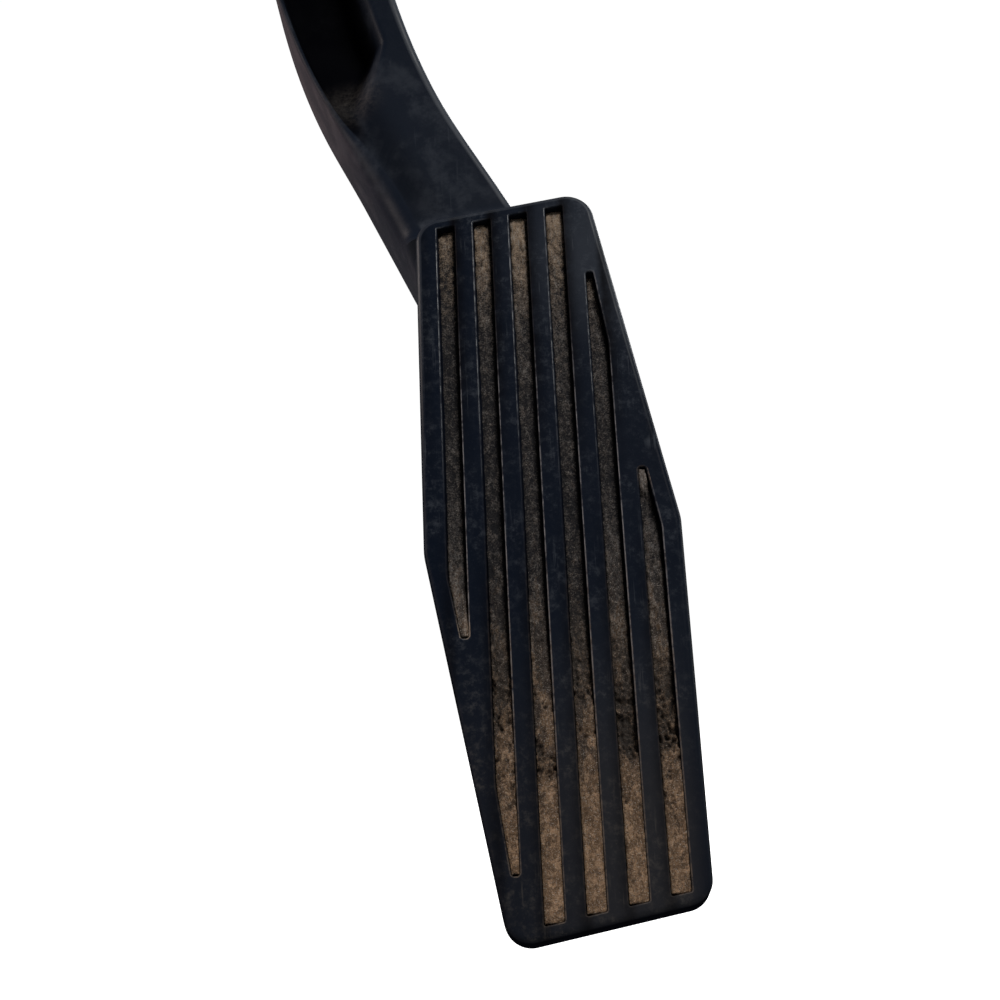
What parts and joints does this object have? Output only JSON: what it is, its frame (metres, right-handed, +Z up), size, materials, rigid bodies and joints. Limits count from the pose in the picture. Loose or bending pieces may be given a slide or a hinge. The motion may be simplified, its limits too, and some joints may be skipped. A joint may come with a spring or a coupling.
{
  "type": "accelerator pedal",
  "caption": "Hanging accelerator pedal: grooved six-sided pad on a swept arm, turning in a bulkhead housing with return springs, friction shoe and angle sensor.",
  "frame": {"origin": "on the flange's mounting face, level with the pivot and in the hub's middle plane", "axes": "+Y into the bulkhead, +Z up, +X to the driver's right"},
  "size_m": [0.1155, 0.179, 0.2913],
  "materials": {
    "pad_plastic": "satin, worn",
    "arm_plastic": "satin",
    "housing_plastic": "fine grain",
    "cover_plastic": "fine grain",
    "sensor_plastic": "satin",
    "rocker_plastic": "satin",
    "rotor_plastic": "satin",
    "shaft_steel": "ground",
    "spring_steel": "drawn, oiled",
    "zinc_steel": "zinc plated",
    "bush_bronze": "sintered",
    "rubber": "matte",
    "lining": "fibrous",
    "magnet": "sintered",
    "board": "solder mask",
    "chip": "moulded",
    "ceramic": "fired",
    "terminal": "tin plated"
  },
  "bodies": {
    "housing": {"left_bush": "bush_bronze", "right_bush": "bush_bronze", "spring_seat": "rocker_plastic", "damping_washer": "rubber", "outer_spring": "spring_steel", "inner_spring": "spring_steel", "housing": "housing_plastic", "side_cover": "cover_plastic", "cover_cap": "sensor_plastic", "side_cover_screws": "zinc_steel", "mounting_sleeves": "zinc_steel", "idle_bumper": "rubber", "full_travel_bumper": "rubber", "friction_shoe": "lining", "friction_spring": "spring_steel", "friction_plug": "sensor_plastic", "circuit_board": "board", "hall_chips": "chip", "board_capacitors": "ceramic", "terminal_pins": "terminal", "sensor_cover": "sensor_plastic", "cover_seal": "rubber", "sensor_cover_screws": "zinc_steel"},
    "pedal": {"pedal_pad": "pad_plastic", "pedal_arm": "arm_plastic", "pivot_shaft": "shaft_steel", "shaft_clip": "spring_steel", "magnet_rotor": "rotor_plastic", "sensor_magnets": "magnet"},
    "rocker": {"spring_rocker": "rocker_plastic"}
  },
  "joints": [
    {"name": "pedal_pivot", "type": "hinge", "parent": "housing", "child": "pedal", "pos_m": [0, -0.046, 0], "axis": [1, 0, 0], "range_deg": [0, 16], "stiffness_Nm_per_rad": 14, "springref_deg": -16.04, "deforming": ["outer_spring", "inner_spring"]},
    {"name": "rocker_pivot", "type": "hinge", "parent": "pedal", "child": "rocker", "pos_m": [0, -0.01827, -0.0039], "axis": [1, 0, 0], "range_deg": [-16, 0]}
  ],
  "couplings": [
    {"joint": "rocker_pivot", "follows": "pedal_pivot", "ratio": -1}
  ]
}
